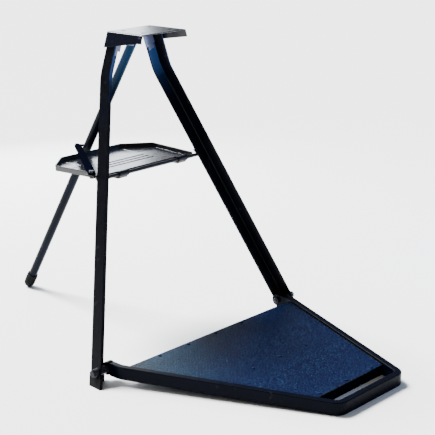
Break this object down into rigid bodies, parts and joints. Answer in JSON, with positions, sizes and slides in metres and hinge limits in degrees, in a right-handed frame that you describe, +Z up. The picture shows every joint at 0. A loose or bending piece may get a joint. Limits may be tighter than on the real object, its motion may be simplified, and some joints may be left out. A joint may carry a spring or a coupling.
{
  "type": "tripod stand with standing platform",
  "caption": "Folding tripod stand: splayed angle legs under a flat mounting plate, a round rear leg, a drop-down tray and a tapered fold-up standing platform.",
  "frame": {"origin": "centre of the bounding box on the floor", "axes": "+X towards the right leg as seen from the platform's free end, +Y from the platform towards the rear leg, +Z up"},
  "size_m": [0.8272, 1.3509, 0.864],
  "materials": {
    "plate_paint": "gloss black enamel with a faint blue cast",
    "leg_paint": "gloss black enamel, slightly blue",
    "tab_paint": "gloss black enamel over a weld",
    "boot_rubber": "moulded black rubber",
    "rear_leg_paint": "gloss black enamel on round tube",
    "tip_rubber": "moulded black rubber",
    "rod_paint": "gloss black enamel",
    "lock_bar_paint": "gloss black enamel",
    "tray_paint": "gloss enamel that mirrors its surroundings",
    "clip_paint": "gloss black enamel",
    "rim_paint": "gloss black enamel, slightly blue",
    "deck_paint": "navy non-slip paint with fine raised dashes",
    "bar_paint": "gloss black enamel",
    "rivet_steel": "painted-over rivet heads, worn at the crown",
    "bush_steel": "dark turned steel",
    "fastener_steel": "blackened zinc-plated steel"
  },
  "bodies": {
    "stand": {"top_plate": "plate_paint", "left_leg": "leg_paint", "right_leg": "leg_paint", "left_foot_boot": "boot_rubber", "right_foot_boot": "boot_rubber", "left_top_tab": "tab_paint", "right_top_tab": "tab_paint", "rear_hinge_bracket": "tab_paint", "rear_hinge_bolt": "fastener_steel", "rear_hinge_nut": "fastener_steel", "tray_rod": "rod_paint", "right_rod_lug": "rod_paint", "lock_bar_bracket": "rod_paint", "lock_bar_bolt": "fastener_steel", "lock_bar_nut": "fastener_steel", "left_pivot_bush": "bush_steel", "right_pivot_bush": "bush_steel", "left_pivot_bolt": "fastener_steel", "right_pivot_bolt": "fastener_steel", "left_pivot_nut": "fastener_steel", "right_pivot_nut": "fastener_steel"},
    "rear_leg": {"rear_leg": "rear_leg_paint", "rear_leg_tip": "tip_rubber"},
    "tray": {"tray_pan": "tray_paint", "left_tray_clip": "clip_paint", "right_tray_clip": "clip_paint", "tray_clip_rivets": "rivet_steel"},
    "lock_bar": {"lock_bar": "lock_bar_paint"},
    "platform": {"platform_rim": "rim_paint", "left_rail_hub": "rim_paint", "right_rail_hub": "rim_paint", "deck_panel": "deck_paint", "deck_rear_bar": "bar_paint", "deck_mid_bar": "bar_paint", "hand_slot_bar": "bar_paint", "deck_rivets": "rivet_steel"}
  },
  "joints": [
    {"name": "rear_leg_fold", "type": "hinge", "parent": "stand", "child": "rear_leg", "pos_m": [0, 0.1575, 0.833], "axis": [-1, 0, 0], "range_deg": [0, 38]},
    {"name": "tray_fold", "type": "hinge", "parent": "stand", "child": "tray", "pos_m": [0, 0.093, 0.4858], "axis": [-1, 0, 0], "range_deg": [0, 107]},
    {"name": "lock_bar_swing", "type": "hinge", "parent": "stand", "child": "lock_bar", "pos_m": [-0.213, 0.1115, 0.498], "axis": [0, 0, 1], "range_deg": [0, 75]},
    {"name": "platform_fold", "type": "hinge", "parent": "stand", "child": "platform", "pos_m": [0, -0.0807, 0.0358], "axis": [-1, 0, 0], "range_deg": [0, 109.5]}
  ],
  "couplings": [
    {"joint": "tray_fold", "follows": "rear_leg_fold", "ratio": 2.8}
  ]
}
